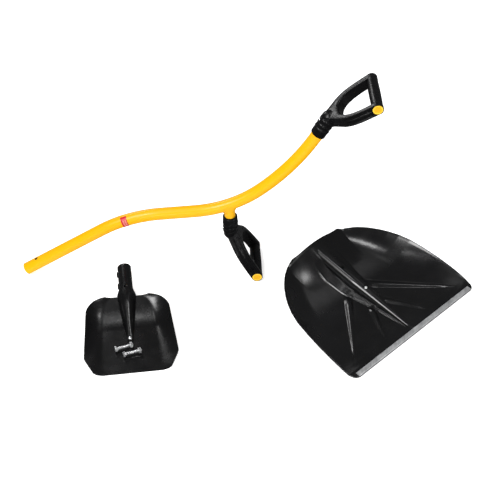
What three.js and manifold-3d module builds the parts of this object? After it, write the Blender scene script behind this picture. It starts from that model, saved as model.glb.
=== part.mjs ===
// Two-grip snow shovel kit, millimetres, +Z up, laid out with both heads off the shaft:
// the bent shaft stands on its cut end and on the cross handle of its middle grip,
// the small steel blade lies in front of it with the two bolts, and the big scoop beside it.
import * as THREE from 'three';
import { mergeVertices } from 'three/addons/utils/BufferGeometryUtils.js';
import Module from 'manifold-3d';

const wasm = await Module();
wasm.setup();

// ---------------------------------------------------------------- driving dimensions
const GAP = 0.3;                    // between pieces that touch

// shaft tube: runs of [length, turn in degrees], from the cut end
const TUBE_R = 15;
const TUBE_WALL = 1.5;
const TUBE_START_DEG = 31.93;       // slope of the cut end above the floor
const TUBE_RUNS = [[231.3, 0], [154.4, -28.62], [84.2, 0], [175.3, 37.04], [209.6, 21.55], [45, 0]];
const TUBE_MOUTH_S = 854.8;          // where the tube enters the top grip
const TAIL_HOLE_S = 40;
const BOLT_HOLE_R = 4.3;
const STUB_S = 556;
const STUB_R = 13.5;
const STUB_HEADING_DEG = -87.96;
const STUB_MOUTH = 37.34;           // tube centre line to the middle grip's mouth
const LABEL_S = 298;
const LABEL_LEN = 15;
const SHAFT_POS = [-559.06, -118.36, 12.73];
const SHAFT_YAW_DEG = 2.86;

// grips: x runs in from the mouth, the cross handle is along z
const SOCKET_R = 18.2;
const SOCKET_LEN = 52;
const BORE_DEPTH = 46;
const BAR_X = 155.5;
const BAR_Y = -58.1;
const BAR_R = 14;
const BAR_HALF = 61.8;
const ARM_DEPTH = 29;
const CAP_R = 11.8;
const SCREW_X = 38;
const SCREW_R = 2.1;

// steel blade: x runs forward, its front edge at x = 0
const BLADE_POS = [-271.2, -452.5, 0];
const BLADE_HEADING_DEG = -82.5;
const BLADE_T = 2;
const BLADE_BACK = -219.5;
const BLADE_SOCKET_R = 17;
const BLADE_BORE_R = TUBE_R + 0.4;

// scoop: x runs forward, its front edge at x = 0
const SCOOP_POS = [399.5, -324.2, 0];
const SCOOP_HEADING_DEG = -46;
const SCOOP_T = 3.2;
const SCOOP_BACK = -342;
const RIM_HIGH = 46;
const SCOOP_SOCKET_R = 18.9;
const SCOOP_BORE_R = TUBE_R + 0.4;

// M8 x 40 bolts with nuts, lying on the steel blade
const HEX_AF = 13;
const BOLT_R = 4;
const BOLT_LEN = 40;
const HEAD_H = 5.3;
const NUT_H = 6.5;

// ---------------------------------------------------------------- materials
const paint = new THREE.MeshStandardMaterial({ color: 0xf7b500, roughness: 0.32, metalness: 0 });
const label = new THREE.MeshStandardMaterial({ color: 0xc81430, roughness: 0.5, metalness: 0 });
const gripPlastic = new THREE.MeshStandardMaterial({ color: 0x1c1d1f, roughness: 0.5, metalness: 0 });
const capPlastic = new THREE.MeshStandardMaterial({ color: 0xf9c21b, roughness: 0.4, metalness: 0 });
const scoopPlastic = new THREE.MeshStandardMaterial({ color: 0x141517, roughness: 0.22, metalness: 0 });
const blackSteel = new THREE.MeshStandardMaterial({ color: 0x17181a, roughness: 0.25, metalness: 0.3 });
const zinc = new THREE.MeshStandardMaterial({ color: 0xb9bcc0, roughness: 0.35, metalness: 1 });
const edgeSteel = new THREE.MeshStandardMaterial({ color: 0xa9abad, roughness: 0.4, metalness: 1 });

// ---------------------------------------------------------------- solids
const rad = THREE.MathUtils.degToRad;

function solid(geometry) {
  const g = geometry.clone();
  g.deleteAttribute('normal');
  g.deleteAttribute('uv');
  const merged = mergeVertices(g, 1e-4);
  return new wasm.Manifold(new wasm.Mesh({
    numProp: 3,
    vertProperties: new Float32Array(merged.attributes.position.array),
    triVerts: new Uint32Array(merged.index.array),
  }));
}

function geometryOf(manifold) {
  const mesh = manifold.getMesh();
  const g = new THREE.BufferGeometry();
  g.setAttribute('position', new THREE.BufferAttribute(new Float32Array(mesh.vertProperties), 3));
  g.setIndex(new THREE.BufferAttribute(new Uint32Array(mesh.triVerts), 1));
  g.computeVertexNormals();
  return g;
}

function piece(parent, name, shape, material) {
  const mesh = new THREE.Mesh(shape.isBufferGeometry ? shape : geometryOf(shape), material);
  mesh.name = name;
  parent.add(mesh);
  return mesh;
}

// cylinder or cone from point a to point b
function bar(a, b, ra, rb = ra, sides = 18, flatten = 1) {
  const from = new THREE.Vector3(...a);
  const to = new THREE.Vector3(...b);
  const dir = to.clone().sub(from);
  const g = new THREE.CylinderGeometry(rb, ra, dir.length(), sides);
  if (flatten !== 1) g.scale(flatten, 1, 1);
  const y = dir.clone().normalize();
  const z = new THREE.Vector3(0, 1, 0);
  if (Math.abs(y.dot(z)) > 0.9) z.set(0, 0, 1);
  const x = new THREE.Vector3().crossVectors(y, z).normalize();
  z.crossVectors(x, y);
  const m = new THREE.Matrix4().makeBasis(x, y, z);
  m.setPosition(from.add(to).multiplyScalar(0.5));
  return solid(g.applyMatrix4(m));
}

function box(x0, x1, y0, y1, z0, z1) {
  const g = new THREE.BoxGeometry(x1 - x0, y1 - y0, z1 - z0);
  return solid(g.translate((x0 + x1) / 2, (y0 + y1) / 2, (z0 + z1) / 2));
}

// turned piece: profile of [radius, height] about +Z
function turned(profile, sides = 24) {
  const points = profile.map(([r, h]) => new THREE.Vector2(r, h));
  return new THREE.LatheGeometry(points, sides).rotateX(Math.PI / 2);
}

// closed sheet over rows of x, half width w(x), between bottom(x, t) and top(x, t)
function sheet(rows, halfWidth, bottom, top, columns) {
  const stride = columns + 1;
  const count = rows.length * stride;
  const position = [];
  for (const height of [bottom, top]) {
    for (const x of rows) {
      for (let j = 0; j < stride; j++) {
        const t = -1 + (2 * j) / columns;
        position.push(x, t * halfWidth(x), height(x, t));
      }
    }
  }
  const index = [];
  const quad = (a, b, c, d) => index.push(a, b, c, a, c, d);
  const last = rows.length - 1;
  for (let i = 0; i < last; i++) {
    for (let j = 0; j < columns; j++) {
      const k = i * stride + j;
      quad(k, k + 1, k + stride + 1, k + stride);
      quad(count + k, count + k + stride, count + k + stride + 1, count + k + 1);
    }
    const a = i * stride;
    const b = a + stride;
    quad(a, b, count + b, count + a);
    quad(b + columns, a + columns, count + a + columns, count + b + columns);
  }
  for (let j = 0; j < columns; j++) {
    const e = last * stride + j;
    quad(j + 1, j, count + j, count + j + 1);
    quad(e, e + 1, count + e + 1, count + e);
  }
  const g = new THREE.BufferGeometry();
  g.setAttribute('position', new THREE.BufferAttribute(new Float32Array(position), 3));
  g.setIndex(index);
  return g;
}

// straight-line table lookup
function table(pairs) {
  return (x) => {
    for (let i = 1; i < pairs.length; i++) {
      const [x0, y0] = pairs[i - 1];
      const [x1, y1] = pairs[i];
      if (x <= x1) return y0 + ((y1 - y0) * Math.max(0, x - x0)) / (x1 - x0);
    }
    return pairs[pairs.length - 1][1];
  };
}

// ---------------------------------------------------------------- shaft centre line
function shaftAt(s) {
  let x = 0;
  let y = 0;
  let heading = rad(TUBE_START_DEG);
  let left = s;
  for (const [length, turnDeg] of TUBE_RUNS) {
    const part = Math.min(left, length);
    const turn = (rad(turnDeg) * part) / length;
    if (turnDeg === 0) {
      x += part * Math.cos(heading);
      y += part * Math.sin(heading);
    } else {
      const r = part / turn;
      x += r * (Math.sin(heading + turn) - Math.sin(heading));
      y -= r * (Math.cos(heading + turn) - Math.cos(heading));
    }
    heading += turn;
    left -= part;
    if (left <= 0) break;
  }
  return { x, y, heading };
}

class ShaftPath extends THREE.Curve {
  constructor(stations) {
    super();
    this.stations = stations;
  }

  station(u) {
    const k = u * (this.stations.length - 1);
    const i = Math.min(Math.floor(k), this.stations.length - 2);
    return this.stations[i] + (k - i) * (this.stations[i + 1] - this.stations[i]);
  }

  getPointAt(u, target = new THREE.Vector3()) {
    const { x, y } = shaftAt(this.station(u));
    return target.set(x, y, 0);
  }

  getPoint(u, target) {
    return this.getPointAt(u, target);
  }

  getTangentAt(u, target = new THREE.Vector3()) {
    const { heading } = shaftAt(this.station(u));
    return target.set(Math.cos(heading), Math.sin(heading), 0);
  }
}

function alongShaft(stations, outer, inner = 0) {
  const shape = new THREE.Shape();
  shape.absarc(0, 0, outer, 0, 2 * Math.PI);
  if (inner > 0) {
    const hole = new THREE.Path();
    hole.absarc(0, 0, inner, 0, 2 * Math.PI, true);
    shape.holes.push(hole);
  }
  return solid(new THREE.ExtrudeGeometry(shape, {
    extrudePath: new ShaftPath(stations), steps: stations.length - 1, curveSegments: 9,
  }));
}

function stationList() {
  const list = [0];
  let start = 0;
  for (const [length, turn] of TUBE_RUNS) {
    const steps = turn === 0 ? 1 : Math.ceil(length / 32);
    for (let i = 1; i <= steps; i++) list.push(start + (length * i) / steps);
    start += length;
  }
  return list;
}

const shaft = new THREE.Group();
shaft.position.set(...SHAFT_POS);
shaft.rotation.set(Math.PI / 2, 0, rad(SHAFT_YAW_DEG), 'ZYX');

const tubeStations = stationList();
const tubeEnd = tubeStations[tubeStations.length - 1];

function crossPoint(s, side) {
  const { x, y, heading } = shaftAt(s);
  return [x - side * Math.sin(heading), y + side * Math.cos(heading), 0];
}

const screwS = TUBE_MOUTH_S + SCREW_X;
const tube = alongShaft(tubeStations, TUBE_R, TUBE_R - TUBE_WALL)
  .subtract(bar(crossPoint(TAIL_HOLE_S, -25), crossPoint(TAIL_HOLE_S, 25), BOLT_HOLE_R))
  .subtract(bar(crossPoint(screwS, 0), crossPoint(screwS, 25), SCREW_R + GAP, SCREW_R + GAP, 12));
piece(shaft, 'shaft_tube', tube, paint);

// branch for the middle grip, coped to the tube and welded round
const branchAt = shaftAt(STUB_S);
const branchDir = [Math.cos(rad(STUB_HEADING_DEG)), Math.sin(rad(STUB_HEADING_DEG))];
const branch = (d, side = 0) => [
  branchAt.x + d * branchDir[0] - side * branchDir[1],
  branchAt.y + d * branchDir[1] + side * branchDir[0],
  0,
];
const nearStations = [];
for (let s = STUB_S - 60; s <= STUB_S + 60; s += 10) nearStations.push(s);
const tubeClear = alongShaft(nearStations, TUBE_R + GAP);
const stub = bar(branch(0), branch(STUB_MOUTH + 45), STUB_R)
  .subtract(tubeClear)
  .subtract(bar(branch(0), branch(STUB_MOUTH + 60), STUB_R - TUBE_WALL))
  .subtract(bar(branch(STUB_MOUTH + SCREW_X), branch(STUB_MOUTH + SCREW_X, -25), SCREW_R + GAP,
    SCREW_R + GAP, 12));
piece(shaft, 'grip_stub', stub, paint);
const weld = bar(branch(6), branch(24), 17.2, 14.6, 18)
  .subtract(tubeClear)
  .subtract(bar(branch(-5), branch(40), STUB_R + GAP, STUB_R + GAP, 18));
piece(shaft, 'stub_weld', weld, paint);

// printed band, plain here, on the side away from the bend's centre
const labelPath = shaftAt(LABEL_S);
const band = [-1, 1].map((end) => [
  labelPath.x + (end * LABEL_LEN / 2) * Math.cos(labelPath.heading),
  labelPath.y + (end * LABEL_LEN / 2) * Math.sin(labelPath.heading), 0]);
const labelStations = [-12, -6, 0, 6, 12].map((d) => LABEL_S + d);
const labelBand = bar(band[0], band[1], TUBE_R + 0.85, TUBE_R + 0.85, 18)
  .subtract(alongShaft(labelStations, TUBE_R + GAP + 0.2))
  .subtract(box(-60, 60, -60, 60, -60, 0)
    .rotate([-12, 0, 0]).rotate([0, 0, THREE.MathUtils.radToDeg(labelPath.heading)])
    .translate([labelPath.x, labelPath.y, 0]));
piece(shaft, 'shaft_label', labelBand, label);

// ---------------------------------------------------------------- grips
const NECK_X = 44;
const forkLength = Math.hypot(BAR_X - NECK_X, BAR_Y);
const forkAngle = Math.atan2(BAR_Y, BAR_X - NECK_X);

function gripFrame() {
  const outer = [[-6, 13], [6, 15], [20, 27], [38, 41.5], [58, 50.5], [84, 56], [110, 59], [forkLength, 60]];
  const inner = [[37, 9], [41, 22], [52, 33], [70, 41], [94, 46], [forkLength - 8, 48]];
  const half = (points, sign) => points.map(([a, z]) => new THREE.Vector2(a, sign * z));
  const shape = new THREE.Shape();
  shape.setFromPoints([...half(outer, -1), ...half(outer, 1).reverse()]);
  shape.holes.push(new THREE.Path().setFromPoints([...half(inner, 1), ...half(inner, -1).reverse()]));
  const bevel = 2.5;
  const g = new THREE.ExtrudeGeometry(shape, {
    depth: ARM_DEPTH - 2 * bevel, bevelThickness: bevel, bevelSize: bevel, bevelOffset: -bevel,
    bevelSegments: 1, curveSegments: 4,
  });
  // drawn in (along the fork, z), thick across the fork
  g.translate(0, 0, -(ARM_DEPTH - 2 * bevel) / 2);
  g.rotateX(Math.PI / 2);
  g.rotateZ(forkAngle);
  return solid(g.translate(NECK_X, 0, 0));
}

function gripBody(plugR) {
  let body = bar([0, 0, 0], [SOCKET_LEN, 0, 0], SOCKET_R, SOCKET_R, 20)
    .add(solid(new THREE.SphereGeometry(SOCKET_R, 16, 8).translate(SOCKET_LEN, 0, 0)));
  for (const x of [8, 27, 46]) body = body.add(bar([x - 2, 0, 0], [x + 2, 0, 0], SOCKET_R + 0.9,
    SOCKET_R + 0.9, 20));
  body = body.add(gripFrame());
  body = body.add(bar([BAR_X, BAR_Y, -BAR_HALF], [BAR_X, BAR_Y, BAR_HALF], BAR_R, BAR_R, 20));
  for (const side of [-1, 1]) {
    const at = (z) => [BAR_X, BAR_Y, side * z];
    body = body.subtract(bar(at(BAR_HALF - 4.3), at(BAR_HALF + 5), CAP_R + GAP + 0.2, CAP_R + GAP + 0.2, 20));
    body = body.subtract(bar(at(BAR_HALF - 18), at(BAR_HALF), 6.4, 6.4, 10));
  }
  body = body.subtract(bar([-5, 0, 0], [BORE_DEPTH, 0, 0], plugR + GAP, plugR + GAP, 18));
  return body.subtract(bar([SCREW_X, 0, 0], [SCREW_X, 30, 0], SCREW_R + GAP, SCREW_R + GAP, 12))
    .subtract(bar([SCREW_X, SOCKET_R - 0.6, 0], [SCREW_X, 30, 0], 4.6, 4.6, 16));
}

function cap() {
  return turned([[0, -13], [5.4, -13], [6, -12], [6, -4], [CAP_R, -4], [CAP_R, -0.6], [CAP_R - 0.6, 0],
    [8.6, 0], [8, -0.8], [0, -0.8]], 20);
}

function gripScrew() {
  return turned([[0, -14], [1, -14], [SCREW_R, -12.5], [SCREW_R, 0], [4.2, 0], [4, 1.4], [2.6, 2.5],
    [0, 2.8]], 12).rotateX(-Math.PI / 2);
}

function addGrip(name, plugR, x, y, heading, flipped) {
  const grip = new THREE.Group();
  grip.position.set(x, y, 0);
  grip.rotation.set(flipped ? Math.PI : 0, 0, heading, 'ZYX');
  piece(grip, `${name}_body`, gripBody(plugR), gripPlastic);
  for (const [side, tag] of [[1, 'a'], [-1, 'b']]) {
    const end = piece(grip, `${name}_cap_${tag}`, cap(), capPlastic);
    end.position.set(BAR_X, BAR_Y, side * (BAR_HALF + 0.4));
    if (side < 0) end.rotation.x = Math.PI;
  }
  const screw = piece(grip, `${name}_screw`, gripScrew(), zinc);
  screw.position.set(SCREW_X, SOCKET_R - 0.3, 0);
  shaft.add(grip);
}

const topMouth = shaftAt(TUBE_MOUTH_S);
addGrip('top_grip', TUBE_R, topMouth.x, topMouth.y, topMouth.heading, false);
const midMouth = branch(STUB_MOUTH);
addGrip('mid_grip', STUB_R, midMouth[0], midMouth[1], rad(STUB_HEADING_DEG), true);

// ---------------------------------------------------------------- steel blade
const blade = new THREE.Group();
blade.position.set(...BLADE_POS);
blade.rotation.z = rad(BLADE_HEADING_DEG);

const bladeHalf = table([[BLADE_BACK, 54], [-214, 72], [-206, 84], [-198, 91], [-188, 97], [-178, 101],
  [-120, 105.5], [-47, 111.6], [-8, 92], [0, 70]]);
const lift = (x, from, back, high, power) => (x >= from ? 0 : high * ((from - x) / (from - back)) ** power);
const sideRise = (t, flat, power) => (Math.abs(t) <= flat ? 0 : ((Math.abs(t) - flat) / (1 - flat)) ** power);
const bladeBase = (x) => lift(x, -138, BLADE_BACK, 30, 1.6);
const bladeRim = (x) => 5 + 30 * Math.min(1, -x / 190);
const bladeUnder = (x, t) => bladeBase(x)
  + Math.max(0, bladeRim(x) - bladeBase(x)) * sideRise(t, 0.6, 1.8);
const bladeRows = [BLADE_BACK, -214, -206, -198, -192, -188, -178, -166, -152, -138, -110, -80, -47, -27, -8, 0];
const NOTCH_X = -192;
const plateGeometry = sheet(bladeRows, bladeHalf, bladeUnder, (x, t) => bladeUnder(x, t) + BLADE_T, 16);
const RIVET_X = -106;
const plate = solid(plateGeometry)
  .subtract(box(BLADE_BACK - 5, NOTCH_X, -BLADE_SOCKET_R - 0.6, BLADE_SOCKET_R + 0.6, -5, 60))
  .subtract(bar([RIVET_X, 0, -5], [RIVET_X, 0, 10], 3.3, 3.3, 16));
piece(blade, 'steel_blade_plate', plate, blackSteel);

// socket: tube stub that opens into a tapering half cone riveted to the plate
const socketAxis = (x) => 25.4 + (NOTCH_X - x) * 0.105;
const SOCKET_END = -314;
const socketPoint = (x, up = 0) => [x, 0, socketAxis(x) + up];
const aboveSheet = sheet([-260, ...bladeRows], () => 140, () => -80,
  (x) => (x < NOTCH_X ? bladeBase(NOTCH_X) : bladeBase(x)) + BLADE_T + GAP, 2);
const belowPlate = solid(aboveSheet).subtract(box(-300, NOTCH_X - GAP, -17, 17, -100, 60));
const socketWings = bar(socketPoint(-262), socketPoint(-218, -2), BLADE_SOCKET_R, 24.5, 16, 0.72)
  .add(bar(socketPoint(-218.2, -2), [-118, 0, 2.5], 24.5, 7.5, 16, 0.72))
  .subtract(solid(sheet([-300, BLADE_BACK - 0.6, BLADE_BACK, -214, -206, -198, -192], () => 140, () => -80,
    (x) => (x < BLADE_BACK - 0.4 ? 18 : bladeBase(x) + BLADE_T + GAP), 2)));
let socket = bar(socketPoint(SOCKET_END), socketPoint(NOTCH_X - 2), BLADE_SOCKET_R, BLADE_SOCKET_R, 20)
  .add(socketWings)
  .add(box(-126, -95, -8, 8, 0, 4.8));
for (const x of [-292, -255]) {
  socket = socket.add(bar([x, -10, socketAxis(x)], [x, -BLADE_SOCKET_R - 3, socketAxis(x)], 7.5, 6, 16));
}
socket = socket
  .subtract(bar(socketPoint(SOCKET_END - 5), socketPoint(-200), BLADE_BORE_R, BLADE_BORE_R, 20))
  .subtract(belowPlate)
  .subtract(bar([-240, 0, -5], [-240, 0, 80], BOLT_HOLE_R, BOLT_HOLE_R, 16))
  .subtract(bar([RIVET_X, 0, -5], [RIVET_X, 0, 10], 3.3, 3.3, 16));
piece(blade, 'steel_blade_socket', socket, blackSteel);

const rivet = piece(blade, 'steel_blade_rivet', turned([[0, 0.4], [3, 0.4], [3, 5.1], [5, 5.1],
  [4.6, 6.6], [3, 7.8], [0, 8.4]], 20), zinc);
rivet.position.set(RIVET_X, 0, 0);

// ---------------------------------------------------------------- bolts on the blade
const hexRadius = HEX_AF / Math.sqrt(3);
function hexBlock(x0, x1) {
  const g = new THREE.CylinderGeometry(hexRadius, hexRadius, x1 - x0, 6);
  return solid(g.rotateZ(-Math.PI / 2).rotateX(Math.PI / 2).translate((x0 + x1) / 2, 0, 0));
}

function addBolt(tag, x, y, headingDeg) {
  const set = new THREE.Group();
  set.position.set(x, y, BLADE_T + GAP + HEX_AF / 2);
  set.rotation.z = rad(headingDeg);
  const start = -(HEAD_H + BOLT_LEN) / 2;
  const neck = start + HEAD_H;
  const chamfer = turned([[0, start], [5.6, start], [hexRadius, start + 1.1], [hexRadius, neck], [0, neck]], 18)
    .rotateY(Math.PI / 2);
  const bolt = hexBlock(start, neck).intersect(solid(chamfer))
    .add(bar([neck - 1, 0, 0], [neck + BOLT_LEN - 1, 0, 0], BOLT_R, BOLT_R, 12))
    .add(bar([neck + BOLT_LEN - 1.1, 0, 0], [neck + BOLT_LEN, 0, 0], BOLT_R, BOLT_R - 1, 12));
  piece(set, `bolt_${tag}`, bolt, zinc);
  const nutAt = neck + BOLT_LEN - NUT_H - 2;
  const nutChamfer = turned([[0, nutAt], [6.5, nutAt], [hexRadius, nutAt + 0.8],
    [hexRadius, nutAt + NUT_H - 0.8], [6.5, nutAt + NUT_H], [0, nutAt + NUT_H]], 18).rotateY(Math.PI / 2);
  const nut = hexBlock(nutAt, nutAt + NUT_H).intersect(solid(nutChamfer))
    .subtract(bar([nutAt - 1, 0, 0], [nutAt + NUT_H + 1, 0, 0], BOLT_R + GAP + 0.1, BOLT_R + GAP + 0.1, 12));
  piece(set, `nut_${tag}`, nut, zinc);
  kit.add(set);
}

// ---------------------------------------------------------------- scoop
const scoop = new THREE.Group();
scoop.position.set(...SCOOP_POS);
scoop.rotation.z = rad(SCOOP_HEADING_DEG);

const scoopHalf = table([[SCOOP_BACK, 84], [-339, 97], [-331, 112], [-316, 134], [-296, 155],
  [-275, 171], [-255, 184], [-230, 196], [-200, 206], [-160, 212], [-119, 217], [-80, 219.5], [-40, 220.5],
  [-8, 217], [0, 209]]);
const scoopBase = (x) => lift(x, -190, -354, 43, 1.5);
// the back wall stands higher in the middle, where the socket goes through it
const scoopCrown = (x, t) => 26 * Math.max(0, (-250 - x) / 92) ** 1.6
  * Math.max(0, 1 - (t * scoopHalf(x) / 96) ** 2) ** 0.8;
const scoopRim = (x) => RIM_HIGH * Math.min(1, Math.max(0, (-x - 20) / 300)) ** 0.75;
const scoopRise = (x, t) => scoopBase(x) + scoopCrown(x, t)
  + Math.max(0, scoopRim(x) - scoopBase(x)) * sideRise(t, 0.6, 2);
const frontStep = (x) => (x > -16 ? 1.5 : x > -34 ? (1.5 * (x + 34)) / 18 : 0);
const scoopUnder = (x, t) => scoopRise(x, t) + frontStep(x);
const scoopTop = (x, t) => scoopRise(x, t) + SCOOP_T + frontStep(x) * 0.85;
const scoopRows = [SCOOP_BACK, -339, -331, -316, -306, -296, -285, -275, -265, -250, -230, -210, -190, -160, -119, -80,
  -40, -34, -16, -8, 0];
const scoopAxis = (x) => 22.5 + (-215 - x) * 0.15;
const scoopPoint = (x) => [x, 0, scoopAxis(x)];
const SCOOP_SOCKET_END = -342;
const SCOOP_BORE_END = -205;

// raised V ribs, following the sheet from an inner to an outer point
function rib(x0, y0, x1, y1, high) {
  const rows = 6;
  const across = new THREE.Vector2(x1 - x0, y1 - y0).normalize();
  const position = [];
  const index = [];
  for (let i = 0; i <= rows; i++) {
    const f = i / rows;
    const x = x0 + (x1 - x0) * f;
    const y = y0 + (y1 - y0) * f;
    const z = scoopTop(x, y / scoopHalf(x));
    const tall = high * Math.sin(Math.PI * Math.min(1, Math.max(0.08, f * 2.2, 0)) / 2)
      * Math.sin((Math.PI * Math.min(1, Math.max(0.1, (1 - f) * 3))) / 2);
    for (const [side, up] of [[-4.5, -1.6], [4.5, -1.6], [0, tall]]) {
      position.push(x - side * across.y, y + side * across.x, z + up);
    }
    if (i === rows) break;
    const a = i * 3;
    for (const [p, q] of [[0, 1], [1, 2], [2, 0]]) {
      index.push(a + p, a + 3 + p, a + 3 + q, a + p, a + 3 + q, a + q);
    }
  }
  const e = rows * 3;
  index.push(0, 1, 2, e, e + 2, e + 1);
  const g = new THREE.BufferGeometry();
  g.setAttribute('position', new THREE.BufferAttribute(new Float32Array(position), 3));
  g.setIndex(index);
  let s = solid(g);
  if (s.volume() < 0) {
    g.setIndex(index.map((_, k) => index[k - (k % 3) + 2 - (k % 3)]));
    s = solid(g);
  }
  return s;
}

const SCOOP_SCREW_X = -167;
const ridgeTop = 18.6;
const scoopBolt = bar([-245, 0, -5], [-245, 0, 90], BOLT_HOLE_R, BOLT_HOLE_R, 16);
const overFloor = box(-400, 20, -300, 300, -60, 0);
const shellSheet = solid(sheet(scoopRows, scoopHalf, scoopUnder, scoopTop, 24));
let shell = shellSheet;
for (const side of [-1, 1]) {
  shell = shell.add(rib(-182, 24 * side, -34, 178 * side, 3.6));
  shell = shell.add(rib(-122, 18 * side, -32, 74 * side, 3));
}
shell = shell
  .subtract(overFloor)
  .subtract(bar(scoopPoint(SCOOP_SOCKET_END - 30), scoopPoint(-200), SCOOP_SOCKET_R + GAP, SCOOP_SOCKET_R + GAP, 20))
  .subtract(bar([SCOOP_SCREW_X, 0, -5], [SCOOP_SCREW_X, 0, 30], 2.4, 2.4, 12));
piece(scoop, 'scoop_shell', shell, scoopPlastic);

// the socket and the ridge that runs on from it, standing on the sheet
const underRidge = solid(sheet([-212, -210, -200, -190, -160, -119, -80, -40, -34, -16, 0], () => 60, () => -60,
  (x) => scoopTop(x, 0) + GAP, 2));
const ridge = bar(scoopPoint(SCOOP_SOCKET_END), scoopPoint(-203), SCOOP_SOCKET_R, SCOOP_SOCKET_R, 20)
  .add(bar(scoopPoint(-203.2), [-24, 0, 1.6], SCOOP_SOCKET_R, 3.6, 20))
  .subtract(underRidge)
  .subtract(overFloor)
  .subtract(bar(scoopPoint(SCOOP_SOCKET_END - 30), scoopPoint(SCOOP_BORE_END), SCOOP_BORE_R, SCOOP_BORE_R, 20))
  .subtract(scoopBolt)
  .subtract(bar([SCOOP_SCREW_X, 0, ridgeTop + 11.6], [SCOOP_SCREW_X, 0, 60], 5, 5, 20))
  .subtract(bar([SCOOP_SCREW_X, 0, 2], [SCOOP_SCREW_X, 0, 60], 2.4, 2.4, 12));
piece(scoop, 'scoop_socket', ridge, scoopPlastic);

const scoopScrew = piece(scoop, 'scoop_socket_screw', turned([[0, -13], [1, -13], [2, -11.5], [2, 0.3],
  [4.4, 0.3], [4.1, 1.8], [2.6, 2.9], [0, 3.2]], 20), zinc);
scoopScrew.position.set(SCOOP_SCREW_X, 0, ridgeTop + 11.7);

// folded strip round the front edge
const STRIP_HALF = 204;
const stripShape = new THREE.Shape();
stripShape.setFromPoints([[-12, 0], [1.2, 0], [1.6, 0.4], [1.6, 5.6], [1.2, 6.3], [-11.5, 6.1], [-12, 5.3],
  [0.3, 5], [0.3, 1.2], [-12, 1.2]].map(([x, z]) => new THREE.Vector2(x, z)));
const strip = new THREE.ExtrudeGeometry(stripShape, { depth: 2 * STRIP_HALF, bevelEnabled: false });
strip.rotateX(Math.PI / 2).translate(0, STRIP_HALF, 0);
piece(scoop, 'scoop_edge_strip', strip, edgeSteel);

// ---------------------------------------------------------------- the kit, centred on the floor
const kit = new THREE.Group();
kit.add(shaft, blade, scoop);
addBolt('a', -297, -379, 23);
addBolt('b', -276, -396, 21);

const group = new THREE.Group();
group.add(kit);
group.updateMatrixWorld(true);
const bounds = new THREE.Box3().setFromObject(kit, true);
const centre = bounds.getCenter(new THREE.Vector3());
kit.position.set(-centre.x, -centre.y, -bounds.min.z);

export default group;
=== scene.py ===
"""Two-grip snow shovel kit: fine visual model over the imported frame. Metres, +Z up."""
import math

import bmesh
import bpy
import numpy as np
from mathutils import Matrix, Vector


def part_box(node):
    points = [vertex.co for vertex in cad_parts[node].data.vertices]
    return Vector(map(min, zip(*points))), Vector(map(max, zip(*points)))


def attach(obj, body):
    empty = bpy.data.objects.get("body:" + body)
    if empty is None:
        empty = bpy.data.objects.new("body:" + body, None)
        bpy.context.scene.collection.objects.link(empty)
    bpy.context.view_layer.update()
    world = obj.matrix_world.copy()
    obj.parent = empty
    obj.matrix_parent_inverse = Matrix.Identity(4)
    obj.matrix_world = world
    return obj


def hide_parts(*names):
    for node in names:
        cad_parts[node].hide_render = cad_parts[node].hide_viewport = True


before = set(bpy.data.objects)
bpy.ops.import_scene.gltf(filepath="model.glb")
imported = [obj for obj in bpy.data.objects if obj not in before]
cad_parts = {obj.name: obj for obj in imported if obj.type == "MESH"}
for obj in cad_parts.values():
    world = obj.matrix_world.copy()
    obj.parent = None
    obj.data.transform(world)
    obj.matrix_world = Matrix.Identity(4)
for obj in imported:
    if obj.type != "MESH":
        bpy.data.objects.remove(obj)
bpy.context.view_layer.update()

MM = 0.001


# ------------------------------------------------------------------ the CAD's own dimensions, mm
TUBE_R, TUBE_WALL = 15.0, 1.5
TUBE_START = math.radians(31.93)
TUBE_RUNS = [(231.3, 0), (154.4, -28.62), (84.2, 0), (175.3, 37.04), (209.6, 21.55), (45, 0)]
TUBE_MOUTH_S = 854.8
TAIL_HOLE_S = 40.0
STUB_S, STUB_R, STUB_HEADING, STUB_MOUTH = 555.9, 13.5, math.radians(-87.96), 37.34
LABEL_S, LABEL_LEN = 298.0, 15.0
SHAFT_POS = np.array([-559.06, -118.36, 12.73])
SHAFT_YAW = math.radians(2.86)

SOCKET_R, SOCKET_LEN, BORE_DEPTH = 18.2, 52.0, 46.0
BAR_X, BAR_Y, BAR_R, BAR_HALF = 155.5, -58.1, 14.0, 61.8
ARM_DEPTH, CAP_R, SCREW_X = 29.0, 11.8, 38.0
NECK_X = 44.0
RINGS = (19, 31.5, 44)

BLADE_POS, BLADE_HEADING = (-271.2, -452.5), math.radians(-82.5)
BLADE_T, BLADE_BACK, NOTCH_X, RIVET_X = 2.0, -219.5, -192.0, -106.0
BLADE_SOCKET_R, BLADE_SOCKET_END, BLADE_SOCKET_SLOPE = 17.0, -314.0, 0.105
BLADE_AXIS_Z, BLADE_BORE_END = 25.4, -200.0
BLADE_CURL_X, BLADE_BACK_HIGH, BLADE_CORNER_X, BLADE_WIDEST = -138.0, 30.0, -47.0, 111.3
BOLT_HOLE_X, BOLT_HOLE_R = -240.0, 4.3

SCOOP_POS, SCOOP_HEADING = (399.5, -324.2), math.radians(-46)
SCOOP_T, SCOOP_BACK, RIM_HIGH = 3.2, -342.0, 46.0
SCOOP_SOCKET_R, SCOOP_BORE_R, SCOOP_SOCKET_END, SCOOP_SOCKET_SLOPE = 18.9, 15.4, -342.0, 0.15
SCOOP_BORE_END, SCOOP_CURL_X = -205.0, -190.0
SCOOP_BOLT_X, RIDGE_START, RIDGE_END, RIDGE_END_R, RIDGE_END_Z = -245.0, -203.0, -24.0, 3.6, 1.6
SCOOP_SCREW_X, SCOOP_SCREW_Z, STRIP_HALF = -167.0, 30.3, 204.0

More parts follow.
